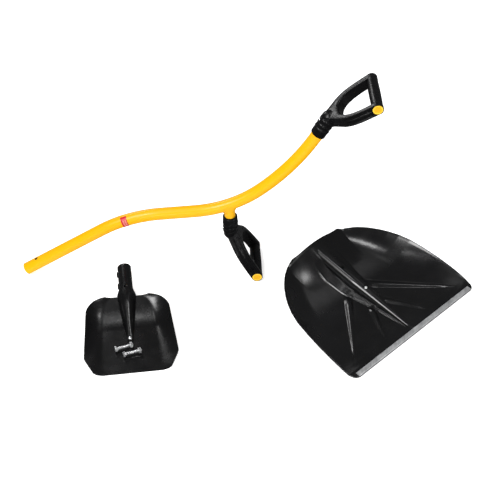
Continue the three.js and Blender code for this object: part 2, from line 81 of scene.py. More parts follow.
HEX_AF, BOLT_R, BOLT_LEN, HEAD_H, NUT_H = 13.0, 4.0, 40.0, 5.3, 6.5
BOLTS = {"a": (-297, -379, math.radians(23)), "b": (-276, -396, math.radians(21))}


def node_centre(node):
    low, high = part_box(node)
    return (np.array(low) + np.array(high)) / 2


def turn_z(points, angle):
    p = np.asarray(points, float)
    c, s = math.cos(angle), math.sin(angle)
    return np.stack([p[..., 0] * c - p[..., 1] * s, p[..., 0] * s + p[..., 1] * c, p[..., 2]], -1)


_rivet = turn_z([RIVET_X, 0, 0], BLADE_HEADING)
_shift = node_centre("steel_blade_rivet")[:2] / MM - _rivet[:2] - np.array(BLADE_POS)
FLOOR_LIFT = 0.045
OFFSET = np.array([*_shift, FLOOR_LIFT])


def from_blade(p):
    return turn_z(p, BLADE_HEADING) + np.array([*BLADE_POS, 0]) + OFFSET


def from_scoop(p):
    return turn_z(p, SCOOP_HEADING) + np.array([*SCOOP_POS, 0]) + OFFSET


def from_shaft(p):
    p = np.asarray(p, float)
    c, s = math.cos(SHAFT_YAW), math.sin(SHAFT_YAW)
    x = c * p[..., 0] + s * p[..., 2]
    y = s * p[..., 0] - c * p[..., 2]
    return np.stack([x, y, p[..., 1]], -1) + SHAFT_POS + OFFSET


# ------------------------------------------------------------------ materials
def principled(name, color, rough, metal=0.0, coat=0.0, coat_rough=0.1, ior=1.5, spec=0.5):
    m = bpy.data.materials.new(name)
    m.use_nodes = True
    b = m.node_tree.nodes["Principled BSDF"]
    b.inputs["Base Color"].default_value = (*color, 1)
    b.inputs["Roughness"].default_value = rough
    b.inputs["Metallic"].default_value = metal
    b.inputs["IOR"].default_value = ior
    b.inputs["Specular IOR Level"].default_value = spec
    b.inputs["Coat Weight"].default_value = coat
    b.inputs["Coat Roughness"].default_value = coat_rough
    return m


def node(m, kind, **values):
    n = m.node_tree.nodes.new(kind)
    for key, value in values.items():
        if key in n.inputs:
            n.inputs[key].default_value = value
        else:
            setattr(n, key, value)
    return n


def link(m, a, b):
    m.node_tree.links.new(a, b)


def coords(m, stretch=(1, 1, 1), turn=0.0):
    where = node(m, "ShaderNodeTexCoord")
    mapping = node(m, "ShaderNodeMapping")
    mapping.inputs["Rotation"].default_value = (0, 0, turn)
    mapping.inputs["Scale"].default_value = stretch
    link(m, where.outputs["Object"], mapping.inputs["Vector"])
    return mapping.outputs["Vector"]


def noise(m, scale, detail=3.0, stretch=(1, 1, 1), turn=0.0, rough=0.5):
    n = node(m, "ShaderNodeTexNoise", Scale=scale, Detail=detail, Roughness=rough)
    link(m, coords(m, stretch, turn), n.inputs["Vector"])
    return n.outputs["Fac"]


def ramp(m, source, low, high, to_low=0.0, to_high=1.0):
    n = node(m, "ShaderNodeMapRange")
    n.inputs["From Min"].default_value = low
    n.inputs["From Max"].default_value = high
    n.inputs["To Min"].default_value = to_low
    n.inputs["To Max"].default_value = to_high
    link(m, source, n.inputs["Value"])
    return n.outputs["Result"]


def tint(m, factor, other):
    """Mix the base colour toward another where factor is high."""
    b = m.node_tree.nodes["Principled BSDF"]
    mix = node(m, "ShaderNodeMix", data_type="RGBA")
    previous = b.inputs["Base Color"].links
    if previous:
        link(m, previous[0].from_socket, mix.inputs[6])
    else:
        mix.inputs[6].default_value = b.inputs["Base Color"].default_value
    mix.inputs[7].default_value = (*other, 1)
    link(m, factor, mix.inputs["Factor"])
    link(m, mix.outputs[2], b.inputs["Base Color"])


def vary_roughness(m, factor, low, high):
    b = m.node_tree.nodes["Principled BSDF"]
    link(m, ramp(m, factor, 0.3, 0.7, low, high), b.inputs["Roughness"])


def bumps(m, *layers):
    """Each layer is (height source, distance in metres, strength)."""
    b = m.node_tree.nodes["Principled BSDF"]
    last = None
    for source, distance, strength in layers:
        n = node(m, "ShaderNodeBump", Distance=distance, Strength=strength)
        link(m, source, n.inputs["Height"])
        if last is not None:
            link(m, last, n.inputs["Normal"])
        last = n.outputs["Normal"]
    link(m, last, b.inputs["Normal"])


def grain(m, scale):
    n = node(m, "ShaderNodeTexVoronoi", Scale=scale)
    link(m, coords(m), n.inputs["Vector"])
    return n.outputs["Distance"]


paint = principled("yellow_powder_coat", (0.79, 0.395, 0.001), 0.36, coat=0.1, coat_rough=0.2, spec=0.22)
tint(paint, ramp(paint, noise(paint, 9, 4), 0.42, 0.75, 0, 0.35), (0.74, 0.34, 0.001))
vary_roughness(paint, noise(paint, 45, 3), 0.28, 0.42)
bumps(paint, (noise(paint, 650, 2), 0.0004, 0.22), (noise(paint, 60, 2), 0.001, 0.08))

grip_black = principled("grip_plastic_black", (0.0025, 0.0025, 0.0028), 0.3, spec=0.26)
tint(grip_black, ramp(grip_black, noise(grip_black, 30, 4), 0.5, 0.8, 0, 0.5), (0.005, 0.005, 0.0055))
vary_roughness(grip_black, noise(grip_black, 120, 4), 0.24, 0.38)
bumps(grip_black, (grain(grip_black, 900), 0.0004, 0.25), (noise(grip_black, 90, 3), 0.0006, 0.12))

cap_yellow = principled("cap_plastic_yellow", (0.86, 0.53, 0.03), 0.36, coat=0.1, spec=0.3)
tint(cap_yellow, ramp(cap_yellow, noise(cap_yellow, 60, 3), 0.45, 0.8, 0, 0.3), (0.8, 0.44, 0.01))
vary_roughness(cap_yellow, noise(cap_yellow, 220, 3), 0.3, 0.46)
bumps(cap_yellow, (noise(cap_yellow, 1500, 2), 0.0002, 0.2))

cap_orange = principled("cap_plastic_recess", (0.72, 0.37, 0.001), 0.42, spec=0.25)
vary_roughness(cap_orange, noise(cap_orange, 260, 3), 0.34, 0.5)
bumps(cap_orange, (noise(cap_orange, 1500, 2), 0.0002, 0.25))

scoop_black = principled("scoop_plastic_gloss", (0.004, 0.004, 0.0042), 0.2, spec=0.4)
tint(scoop_black, ramp(scoop_black, noise(scoop_black, 7, 5), 0.45, 0.75, 0, 0.5), (0.008, 0.008, 0.009))
vary_roughness(scoop_black, noise(scoop_black, 16, 5), 0.17, 0.29)
_scuff = noise(scoop_black, 900, 3, (1, 0.03, 1), -SCOOP_HEADING)
bumps(scoop_black, (noise(scoop_black, 500, 2), 0.0003, 0.05), (_scuff, 0.0003, 0.05),
      (noise(scoop_black, 11, 2), 0.004, 0.05))

steel_black = principled("steel_black_paint", (0.0028, 0.0028, 0.003), 0.24, spec=0.34)
tint(steel_black, ramp(steel_black, noise(steel_black, 12, 5), 0.5, 0.8, 0, 0.5), (0.005, 0.005, 0.0055))
vary_roughness(steel_black, noise(steel_black, 28, 5), 0.2, 0.3)
bumps(steel_black, (noise(steel_black, 420, 2), 0.0004, 0.12), (noise(steel_black, 22, 2), 0.002, 0.05))

zinc = principled("zinc_plate", (0.86, 0.865, 0.87), 0.3, metal=1.0)
tint(zinc, ramp(zinc, noise(zinc, 260, 4), 0.45, 0.7, 0, 0.5), (0.62, 0.62, 0.62))
vary_roughness(zinc, noise(zinc, 400, 4), 0.2, 0.36)
bumps(zinc, (noise(zinc, 2200, 3), 0.0002, 0.25))

strip_steel = principled("edge_strip_steel", (0.74, 0.745, 0.75), 0.42, metal=1.0)
_along = noise(strip_steel, 260, 5, (1, 0.02, 1), -SCOOP_HEADING)
_along2 = noise(strip_steel, 1100, 4, (1, 0.012, 1), -SCOOP_HEADING)
tint(strip_steel, ramp(strip_steel, _along, 0.4, 0.7, 0, 0.8), (0.58, 0.58, 0.59))
tint(strip_steel, ramp(strip_steel, noise(strip_steel, 35, 6), 0.58, 0.72, 0, 0.6), (0.42, 0.41, 0.40))
vary_roughness(strip_steel, noise(strip_steel, 90, 4), 0.36, 0.55)
bumps(strip_steel, (_along2, 0.0003, 0.25), (noise(strip_steel, 40, 3), 0.001, 0.1))

label_red = principled("label_film_red", (0.5, 0.008, 0.018), 0.4, coat=0.15, coat_rough=0.2, spec=0.25)
tint(label_red, ramp(label_red, noise(label_red, 80, 3), 0.5, 0.8, 0, 0.4), (0.4, 0.006, 0.012))
vary_roughness(label_red, noise(label_red, 300, 3), 0.3, 0.46)
bumps(label_red, (noise(label_red, 700, 3), 0.0003, 0.12))

label_pale = principled("label_film_pale", (0.62, 0.2, 0.17), 0.4, spec=0.25)
vary_roughness(label_pale, noise(label_pale, 300, 3), 0.34, 0.46)
bumps(label_pale, (noise(label_pale, 700, 3), 0.0003, 0.12))

bare_inside = principled("tube_inside", (0.16, 0.155, 0.15), 0.5, metal=0.9)
vary_roughness(bare_inside, noise(bare_inside, 150, 4), 0.4, 0.65)
bumps(bare_inside, (noise(bare_inside, 800, 3), 0.0003, 0.3))


# ------------------------------------------------------------------ mesh helpers
class Shape:
    """Verts (mm) and faces gathered from several shells, each face with a material index."""

    def __init__(self):
        self.verts, self.faces, self.mats = [], [], []
        self.count = 0

    def add(self, verts, faces, mat=0):
        verts = np.asarray(verts, float).reshape(-1, 3)
        self.verts.append(verts)
        for k, f in enumerate(faces):
            self.faces.append(tuple(int(i) + self.count for i in f))
            self.mats.append(mat if np.isscalar(mat) else mat[k])
        self.count += len(verts)

    def grid(self, p, close_u=False, close_v=False, cap_first=False, cap_last=False, mat=0, keep=None):
        n, m = p.shape[:2]
        faces = []
        for i in range(n if close_u else n - 1):
            a, b = i * m, ((i + 1) % n) * m
            for j in range(m if close_v else m - 1):
                if keep is not None and not keep[i, j]:
                    continue
                k = (j + 1) % m
                faces.append((a + j, b + j, b + k, a + k))
        if cap_first:
            faces.append(tuple(range(m)))
        if cap_last:
            faces.append(tuple((n - 1) * m + j for j in reversed(range(m))))
        self.add(p.reshape(-1, 3), faces, mat)

    def lathe(self, profile, sides=40, place=None, mat=0):
        """Profile of (radius, height) about +Z; radius 0 closes with a tiny ring."""
        a = np.linspace(0, 2 * math.pi, sides, endpoint=False)
        rings = [[(max(r, 1e-4) * math.cos(t), max(r, 1e-4) * math.sin(t), h) for t in a] for r, h in profile]
        p = np.array(rings)
        if place is not None:
            p = place(p)
        self.grid(p, close_v=True, mat=mat)

    def object(self, name, materials, place=None, sharp=35):
        verts = np.concatenate(self.verts)
        if place is not None:
            verts = place(verts)
        me = bpy.data.meshes.new(name)
        me.from_pydata((verts * MM).tolist(), [], self.faces)
        me.polygons.foreach_set("material_index", self.mats)
        for m in materials:
            me.materials.append(m)
        me.polygons.foreach_set("use_smooth", [True] * len(me.polygons))
        me.set_sharp_from_angle(angle=math.radians(sharp))
        me.validate()
        ob = bpy.data.objects.new(name, me)
        bpy.context.scene.collection.objects.link(ob)
        fix_normals(ob)
        return ob


def fix_normals(ob):
    bm = bmesh.new()
    bm.from_mesh(ob.data)
    bmesh.ops.remove_doubles(bm, verts=bm.verts, dist=2e-6)
    bmesh.ops.recalc_face_normals(bm, faces=bm.faces)
    bm.to_mesh(ob.data)
    bm.free()


def combine(ob, operation, tools):
    """Booleans applied one after another, then the tools are dropped."""
    for tool in tools:
        mod = ob.modifiers.new("combine", "BOOLEAN")
        mod.operation, mod.solver, mod.object = operation, "EXACT", tool
    bpy.context.view_layer.update()
    done = bpy.data.meshes.new_from_object(ob.evaluated_get(bpy.context.evaluated_depsgraph_get()))
    ob.modifiers.clear()
    ob.data = done
    for tool in tools:
        bpy.data.objects.remove(tool)


def cut(ob, *tools):
    combine(ob, "DIFFERENCE", tools)


def join(ob, *others):
    combine(ob, "UNION", others)


def resharpen(ob, angle):
    ob.data.polygons.foreach_set("use_smooth", [True] * len(ob.data.polygons))
    ob.data.set_sharp_from_angle(angle=math.radians(angle))


def basis(direction):
    z = np.asarray(direction, float) / np.linalg.norm(direction)
    x = np.cross([0, 0, 1] if abs(z[2]) < 0.9 else [0, 1, 0], z)
    x /= np.linalg.norm(x)
    return np.stack([x, np.cross(z, x), z], 1)


def rod(a, b, r, place, sides=32):
    """A closed cylinder between two points, as a cutting tool."""
    a, b = np.asarray(a, float), np.asarray(b, float)
    m = basis(b - a)
    s = Shape()
    length = np.linalg.norm(b - a)
    s.lathe([(0, 0), (r, 0), (r, length), (0, length)], sides, lambda p: p @ m.T + a)
    return s.object("tool", [steel_black], place)


def spline(points, count):
    """Smooth curve through the points, evenly spaced along its length."""
    p = np.asarray(points, float)
    p = np.vstack([2 * p[0] - p[1], p, 2 * p[-1] - p[-2]])
    out = []
    for i in range(1, len(p) - 2):
        for t in np.linspace(0, 1, 24, endpoint=False):
            a, b, c, d = p[i - 1], p[i], p[i + 1], p[i + 2]
            out.append(0.5 * (2 * b + (c - a) * t + (2 * a - 5 * b + 4 * c - d) * t ** 2
                              + (3 * b - a - 3 * c + d) * t ** 3))
    out.append(p[-2])
    out = np.array(out)
    s = np.r_[0, np.cumsum(np.linalg.norm(np.diff(out, axis=0), axis=1))]
    want = np.linspace(0, s[-1], count)
    return np.stack([np.interp(want, s, out[:, k]) for k in range(out.shape[1])], 1)


def table(x, pairs):
    xs, ys = zip(*pairs)
    return np.interp(x, xs, ys)


# ------------------------------------------------------------------ shaft
def shaft_at(s):
    x = y = 0.0
    h, left = TUBE_START, s
    for length, turn_deg in TUBE_RUNS:
        part = min(left, length)
        turn = math.radians(turn_deg) * part / length
        if turn_deg == 0:
            x, y = x + part * math.cos(h), y + part * math.sin(h)
        elif part > 0:
            r = part / turn
            x += r * (math.sin(h + turn) - math.sin(h))
            y -= r * (math.cos(h + turn) - math.cos(h))
        h += turn
        left -= part
        if left <= 1e-9:
            break
    return np.array([x, y, 0.0]), h


TUBE_END = sum(length for length, _ in TUBE_RUNS)


def tube_ring(s, r, sides=56, arc=None):
    p, h = shaft_at(s)
    side = np.array([-math.sin(h), math.cos(h), 0])
    a = np.linspace(0, 2 * math.pi, sides, endpoint=False) if arc is None else arc
    return p + r * (np.cos(a)[:, None] * side + np.sin(a)[:, None] * np.array([0, 0, 1.0]))


def build_tube():
    inner, outer = TUBE_R - TUBE_WALL, TUBE_R
    sides, inside_rows = 56, 60
    rings = [(s, inner) for s in np.linspace(TUBE_END - 0.5, 0.5, inside_rows)]
    rings += [(0, inner + 0.4), (0, outer - 0.5), (0.15, outer - 0.2), (0.5, outer)]
    rings += [(s, outer) for s in np.linspace(6, TUBE_END - 0.5, 124)]
    rings += [(TUBE_END, outer - 0.4), (TUBE_END, inner + 0.4)]
    p = np.array([tube_ring(s, r, sides) for s, r in rings])
    shape = Shape()
    shape.grid(p, close_u=True, close_v=True)
    inside_faces = (inside_rows - 1) * sides
    shape.mats = [1 if i < inside_faces else 0 for i in range(len(shape.faces))]
    ob = shape.object("tube_fine", [paint, bare_inside], from_shaft, 40)
    here, h = shaft_at(TAIL_HOLE_S)
    side = np.array([-math.sin(h), math.cos(h), 0])
    screw_at, h2 = shaft_at(TUBE_MOUTH_S + SCREW_X)
    side2 = np.array([-math.sin(h2), math.cos(h2), 0])
    cut(ob, rod(here - 25 * side, here + 25 * side, BOLT_HOLE_R, from_shaft),
        rod(screw_at, screw_at + 25 * side2, 2.5, from_shaft))
    return ob


BRANCH_AT, BRANCH_TUBE_HEADING = shaft_at(STUB_S)
BRANCH_DIR = np.array([math.cos(STUB_HEADING), math.sin(STUB_HEADING), 0])
BRANCH_SIDE = np.array([-BRANCH_DIR[1], BRANCH_DIR[0], 0])


def on_tube(theta, rho, radius):
    """Distance down the branch where a point rho off its axis meets the tube's surface."""
    t = np.array([math.cos(BRANCH_TUBE_HEADING), math.sin(BRANCH_TUBE_HEADING), 0])
    off = rho * (math.cos(theta) * BRANCH_SIDE + math.sin(theta) * np.array([0, 0, 1.0]))
    lo, hi = 0.0, 60.0
    for _ in range(40):
        mid = (lo + hi) / 2
        v = off + mid * BRANCH_DIR
        v = v - (v @ t) * t
        lo, hi = (mid, hi) if np.linalg.norm(v) < radius else (lo, mid)
    return (lo + hi) / 2


def branch_point(theta, rho, d):
    return (BRANCH_AT + d * BRANCH_DIR
            + rho * (math.cos(theta) * BRANCH_SIDE + math.sin(theta) * np.array([0, 0, 1.0])))


def build_stub():
    angles = np.linspace(0, 2 * math.pi, 56, endpoint=False)
    tip = STUB_MOUTH + 45
    rows = []
    for f in np.linspace(0, 1, 14):
        rows.append([branch_point(a, STUB_R, on_tube(a, STUB_R, TUBE_R - 0.4) * (1 - f) + tip * f)
                     for a in angles])
    rows.append([branch_point(a, STUB_R - 1.4, tip) for a in angles])
    rows.append([branch_point(a, STUB_R - TUBE_WALL, tip - 12) for a in angles])
    shape = Shape()
    shape.grid(np.array(rows), close_v=True)
    ob = shape.object("stub_fine", [paint], from_shaft, 40)
    weld_rows = []
    ripple = 0.22 * np.sin(angles * 34)
    for f in np.linspace(0, 1, 12):
        q = math.sin(f * math.pi / 2)
        row = []
        for k, a in enumerate(angles):
            wide = min(17.0, 14.6 / max(1e-6, abs(math.sin(a))))
            rho = wide + (STUB_R + 0.05 - wide) * (1 - math.cos(f * math.pi / 2))
            base = on_tube(a, min(rho, 14.8 / max(1e-6, abs(math.sin(a)))), TUBE_R - 0.1)
            up = 6.5 * (1 - math.cos(q * math.pi / 2)) + (ripple[k] * math.sin(f * math.pi))
            row.append(branch_point(a, rho, base + up))
        weld_rows.append(row)
    weld = Shape()
    weld.grid(np.array(weld_rows), close_v=True)
    return ob, weld.object("weld_fine", [paint], from_shaft, 60)


def build_label():
    lo, hi = math.radians(12), math.radians(192)
    arc = np.linspace(lo, hi, 60)
    half = LABEL_LEN / 2
    rows = []
    stations = [(-half, 0.05), (-half + 0.1, 0.3)]
    stations += [(s, 0.34) for s in np.linspace(-half + 0.6, half - 0.6, 9)]
    stations += [(half - 0.1, 0.3), (half, 0.05)]
    for s, r in stations:
        rows.append(tube_ring(LABEL_S + s, TUBE_R + r, arc=arc))
    shape = Shape()
    shape.grid(np.array(rows))
    cells = [divmod(k, len(arc) - 1) for k in range(len(shape.faces))]
    shape.mats = [1 if row in (4, 5, 7, 8) and 10 < column < 34 else 0 for row, column in cells]
    return shape.object("label_fine", [label_red, label_pale], from_shaft, 60)


# ------------------------------------------------------------------ grips
FORK_LEN = math.hypot(BAR_X - NECK_X, BAR_Y)
FORK_ANGLE = math.atan2(BAR_Y, BAR_X - NECK_X)


def from_fork(a, p, z):
    """Fork coordinates: a along the fork, p across it in the bend plane, z along the handle."""
    c, s = math.cos(FORK_ANGLE), math.sin(FORK_ANGLE)
    return np.stack([NECK_X + a * c - p * s, a * s + p * c, z], -1)


def arm_profile():
    """One section: q 0 inside the D, 1 outside; p across; recess depth in mm on the outer face."""
    half = ARM_DEPTH / 2 - 0.06
    pts = []
    for t in np.linspace(0, math.pi / 2, 5):
        pts.append((0.28 * (1 - math.sin(t)), -half + 3.2 * (1 - math.cos(t)), 0))
    for p in np.linspace(-half + 5, half - 5, 5):
        pts.append((0.0, p, 0))
    for t in np.linspace(math.pi / 2, 0, 5):
        pts.append((0.28 * (1 - math.sin(t)), half - 3.2 * (1 - math.cos(t)), 0))
    flank = [(2.3, 0.0), (2.9, 0.22), (3.35, 0.8), (3.7, 1.8), (4.1, 2.9), (4.6, 3.4), (5.4, 3.6)]
    middle = [(4.0, 3.6), (3.2, 3.4), (2.7, 2.9), (2.3, 1.8), (1.9, 0.8), (1.4, 0.25), (0.7, 0.0)]
    outer = [(half, 1.3), (half - 0.3, 0.4), (half - 0.9, 0.0)]
    outer += [(half - p, depth) for p, depth in flank] + middle
    outer += [(-p, depth) for p, depth in reversed(outer)]
    for p, depth in outer:
        pts.append((1.0, p, depth))
    return pts


def build_arm(sign):
    outer = spline([(-6, 0), (-7, 8), (-3, 13.6), (6, 15), (20, 26), (38, 40.5), (58, 50), (84, 56),
                    (110, 59), (FORK_LEN, 59.8)], 60)
    inner = spline([(37, 0), (37.6, 9), (42, 22), (53, 33.5), (70, 41), (94, 45.8), (FORK_LEN, 48)], 60)
    prof = arm_profile()
    rows = []
    for k in range(60):
        o, i = outer[k], inner[k]
        thick = np.linalg.norm(o - i)
        fade = np.clip((k - 12) / 8, 0, 1) * np.clip((56 - k) / 5, 0, 1)
        row = []
        for q, p, depth in prof:
            d = depth if abs(p) >= ARM_DEPTH / 2 - 0.1 else depth * fade
            along = q - d / max(thick, 1e-6)
            a, z = i + (o - i) * along
            row.append(from_fork(np.array(a), np.array(p * (1 if k else 0.98)), np.array(sign * z)))
        rows.append(row)
    return np.array(rows)


def grip_ring(profile, sides=48):
    """Profile of (x, radius) about the socket's axis."""
    a = np.linspace(0, 2 * math.pi, sides, endpoint=False)
    return np.array([[(x, r * math.cos(t), r * math.sin(t)) for t in a] for x, r in profile])


def build_grip_body(name, place, plug_r):
    """Socket with its rings, two arms and the cross handle, joined into one moulding."""
    bore = plug_r + 0.3
    prof = [(0, 0.01), (0, SOCKET_R - 0.9), (0.4, SOCKET_R - 0.3), (1.2, SOCKET_R)]
    for x in RINGS:
        prof += [(x - 2.6, SOCKET_R), (x - 1.7, SOCKET_R + 0.7), (x - 1.0, SOCKET_R + 0.9),
                 (x + 1.0, SOCKET_R + 0.9), (x + 1.7, SOCKET_R + 0.7), (x + 2.6, SOCKET_R)]
    prof += [(SOCKET_LEN + SOCKET_R * math.sin(t), SOCKET_R * math.cos(t))
             for t in np.linspace(0, math.pi / 2 - 0.01, 12)]
    socket = Shape()
    socket.grid(grip_ring(prof), close_v=True)
    body = socket.object(f"{name}_fine", [grip_black], place, 38)
    arms = []
    for sign in (1, -1):
        arm = Shape()
        arm.grid(build_arm(sign), close_v=True, cap_first=True, cap_last=True)
        arms.append(arm.object("arm", [grip_black], place, 38))
    full = BAR_R - 0.2
    rim = [(0, BAR_HALF), (full - 0.9, BAR_HALF), (full - 0.25, BAR_HALF - 0.3), (full, BAR_HALF - 1.0),
           (full, 50), (full - 0.7, 47)]
    waist = [(13.2 + 0.7 * math.cos(z / 46 * math.pi / 2), z) for z in np.linspace(44, -44, 25)]
    handle = Shape()
    handle.lathe(rim + waist + [(r, -z) for r, z in reversed(rim)], 48,
                 lambda p: p + np.array([BAR_X, BAR_Y, 0]))
    join(body, *arms, handle.object("handle", [grip_black], place, 38))
    tools = [turned_tool([(-2, bore + 0.7), (0, bore + 0.7), (0.8, bore), (BORE_DEPTH, bore)], place),
             rod([SCREW_X, SOCKET_R - 0.6, 0], [SCREW_X, 30, 0], 4.6, place, 28),
             rod([SCREW_X, 5, 0], [SCREW_X, 30, 0], 2.4, place, 20)]
    for sign in (1, -1):
        seat = Shape()
        seat.lathe([(0, 16), (6.3, 16), (6.3, 4.4), (CAP_R + 0.35, 4.4), (CAP_R + 0.35, 0.5),
                    (CAP_R + 0.8, -0.1), (CAP_R + 0.8, -2), (0, -2)], 56,
                   lambda p, s=sign: p * np.array([1, 1, -s]) + np.array([BAR_X, BAR_Y, s * BAR_HALF]))
        tools.append(seat.object("tool", [grip_black], place))
    cut(body, *tools)
    resharpen(body, 38)
    return body


def turned_tool(profile, place, sides=48):
    """A closed turned cutting tool along the socket's axis, from (x, radius) pairs."""
    shape = Shape()
    shape.grid(grip_ring([(profile[0][0], 0.01), *profile, (profile[-1][0], 0.01)], sides), close_v=True)
    return shape.object("tool", [grip_black], place)


def cap_shape():
    shape = Shape()
    prof = [(0, -12), (5.8, -12), (6, -4), (CAP_R - 0.3, -4), (CAP_R, -3.6), (CAP_R, -0.7),
            (CAP_R - 0.25, -0.2), (CAP_R - 0.8, 0), (9.2, 0), (8.8, -0.15), (8.5, -0.8)]
    shape.lathe(prof, 56)
    shape.lathe([(8.5, -0.8), (8.2, -0.95), (5.4, -0.95), (5.2, -0.8), (4.9, -0.8), (4.7, -0.95),
                 (1.4, -0.95), (1.1, -0.7), (0, -0.6)], 56, mat=1)
    return shape


def screw_shape(reach=14.0, shank=2.1, head=4.2):
    shape = Shape()
    shape.lathe([(0, -reach), (0.9, -reach), (shank, -reach + 1.6), (shank, 0), (head - 0.2, 0), (head, 0.35),
                 (head - 0.15, 1.2), (head - 0.8, 2.0), (head - 1.8, 2.55), (1.2, 2.78), (0, 2.8)], 36)
    return shape


def slot_tools(place, top, size=2.0):
    """Two crossed blocks that cut the screw's cross slot."""
    tools = []
    corners = ((-size, -0.45), (size, -0.45), (size, 0.45), (-size, 0.45))
    block = [(x, y, top + z) for z in (-1.7, 2) for x, y in corners]
    sides = [(0, 3, 2, 1), (4, 5, 6, 7), (0, 1, 5, 4), (1, 2, 6, 5), (2, 3, 7, 6), (3, 0, 4, 7)]
    for angle in (0, math.pi / 2):
        b = Shape()
        b.add(turn_z(block, angle), sides)
        tools.append(b.object("tool", [zinc], place))
    return tools


def dress(ob, body, slot_name, *nodes):
    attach(ob, body)
    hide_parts(*nodes)


def add_grip(name, plug_r, mouth, heading, flipped):
    def place(p):
        p = np.asarray(p, float).copy()
        if flipped:
            p[..., 1] *= -1
            p[..., 2] *= -1
        return from_shaft(turn_z(p, heading) + mouth)

    body = build_grip_body(name, place, plug_r)
    dress(body, "shaft", "grip_plastic", f"{name}_body")
    for sign, tag in ((1, "a"), (-1, "b")):
        def cap_place(p, sign=sign):
            p = np.asarray(p, float).copy()
            p[..., 2] *= sign
            return place(p + np.array([BAR_X, BAR_Y, sign * (BAR_HALF + 0.4)]))
        cap = cap_shape().object(f"{name}_cap_{tag}_fine", [cap_yellow, cap_orange], cap_place, 30)
        dress(cap, "shaft", "cap_plastic", f"{name}_cap_{tag}")

    def screw_place(p):
        p = np.asarray(p, float)
        return place(np.stack([p[..., 0] + SCREW_X, p[..., 2] + SOCKET_R - 0.3, -p[..., 1]], -1))
    screw = screw_shape().object(f"{name}_screw_fine", [zinc], screw_place, 30)
    cut(screw, *slot_tools(screw_place, 2.8))
    dress(screw, "shaft", "zinc", f"{name}_screw")


# ------------------------------------------------------------------ steel blade
def blade_half(x):
    return table(x, [(BLADE_BACK, 54), (-217, 64), (-214, 71), (-210, 78.5), (-206, 83.5), (-198, 90.5),
                     (-188, 96.5), (-178, 100.6), (-150, 103), (-120, 105.3), (-85, 108.4),
                     (BLADE_CORNER_X, BLADE_WIDEST), (-40, 108.5), (-8, 91.5), (-3, 84), (0, 70)])


def rise(a, flat, power):
    return np.where(a <= flat, 0.0, (np.maximum(a - flat, 0) / (1 - flat)) ** power)


def blade_base(x):
    curl = np.maximum(BLADE_CURL_X - x, 0) / (BLADE_CURL_X - BLADE_BACK)
    return np.where(x >= BLADE_CURL_X, 0.0, BLADE_BACK_HIGH * curl ** 1.6)


def blade_under(x, t):
    rim = 5 + 30 * np.minimum(1, -x / 190)
    uncut = np.where(x > BLADE_CORNER_X, BLADE_WIDEST, blade_half(x))
    lift = np.maximum(0, rim - blade_base(x))
    return blade_base(x) + lift * rise(np.abs(t) * blade_half(x) / uncut, 0.6, 1.8)


def sheet_points(rows, columns, half, height):
    x = np.asarray(rows, float)[:, None]
    t = np.linspace(-1, 1, columns)[None, :]
    w = t * half(x)
    xx = np.broadcast_to(x, w.shape)
    return np.stack([xx, w, height(xx, np.broadcast_to(t, w.shape))], -1)


def build_blade():
    rows = np.r_[np.linspace(BLADE_BACK, -186, 22), np.linspace(-184, -52, 60), np.linspace(-49, 0, 34)]
    overlap = 0.55

    def top_of(x, t):
        edge = 1 - np.abs(t)
        soft = 0.35 * np.exp(-(edge / 0.012) ** 2)
        return blade_under(x, t) + BLADE_T - soft
    top = sheet_points(rows, 161, blade_half, top_of)
    bottom = sheet_points(rows, 161, blade_half, blade_under)
    cx = (top[:-1, :-1, 0] + top[1:, 1:, 0]) / 2
    cy = (top[:-1, :-1, 1] + top[1:, 1:, 1]) / 2
    keep = ~((cx < NOTCH_X) & (np.abs(cy) < BLADE_SOCKET_R - overlap))
    shape = Shape()
    shape.grid(top, keep=keep)
    shape.grid(bottom, keep=keep)
    for pick in (lambda g: g[:, 0], lambda g: g[:, -1], lambda g: g[-1]):
        a, b = pick(top), pick(bottom)
        shape.grid(np.stack([a, (a + b) / 2, b], 0))
    a, b = top[0], bottom[0]
    wall = np.abs((a[:-1, 1] + a[1:, 1]) / 2) >= BLADE_SOCKET_R - overlap
    shape.grid(np.stack([a, b], 0), keep=wall[None, :])
    return shape.object("steel_blade_fine", [steel_black], from_blade, 40)


def socket_axis(x):
    return BLADE_AXIS_Z + (NOTCH_X - x) * BLADE_SOCKET_SLOPE


def tilted_ring(x, r, axis, slope, count=64, floor=-1e9):
    """A circle square to an axis that falls by slope along x."""
    a = np.linspace(0, 2 * math.pi, count, endpoint=False)
    lean = math.atan(slope)
    z = axis(x) + r * np.cos(a) * math.cos(lean)
    return np.stack([x + r * np.cos(a) * math.sin(lean), r * np.sin(a), np.maximum(z, floor)], -1)


def bore_tool(axis, slope, mouth, end, r, place):
    rings = [tilted_ring(mouth - 6, 0.01, axis, slope), tilted_ring(mouth - 6, r + 0.8, axis, slope),
             tilted_ring(mouth, r + 0.8, axis, slope), tilted_ring(mouth + 1, r, axis, slope),
             tilted_ring(end, r, axis, slope), tilted_ring(end, 0.01, axis, slope)]
    shape = Shape()
    shape.grid(np.array(rings), close_v=True)
    return shape.object("tool", [steel_black], place)


def socket_crest(x):
    """The tube's top line running smoothly into the falling crest of the hood."""
    level, fall = socket_axis(x) + BLADE_SOCKET_R + 0.05, 46.5 - 0.44 * (x + 206)
    return -1.5 * math.log(math.exp(-level / 1.5) + math.exp(-fall / 1.5))


